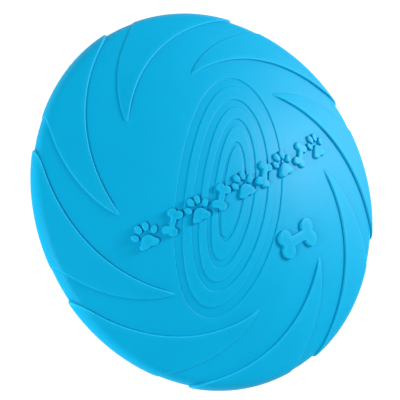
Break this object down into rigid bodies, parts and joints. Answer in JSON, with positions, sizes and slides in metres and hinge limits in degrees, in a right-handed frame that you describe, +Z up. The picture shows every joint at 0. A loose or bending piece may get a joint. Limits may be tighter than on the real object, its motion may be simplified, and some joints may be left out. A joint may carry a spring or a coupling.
{
  "type": "flying disc",
  "caption": "Domed rubber flying disc for a dog, with swept raised blades, oval grooves, a row of paw and bone motifs and a hollow underside.",
  "frame": {"origin": "on the disc's axis, in the plane that the rim rests on", "axes": "+Z up the disc's axis, out of the domed side; +X along the row of motifs; +Y up the motifs"},
  "size_m": [0.1792, 0.1792, 0.0283],
  "materials": {
    "rubber": "satin"
  },
  "bodies": {
    "root": {"disc": "rubber"}
  },
  "joints": []
}
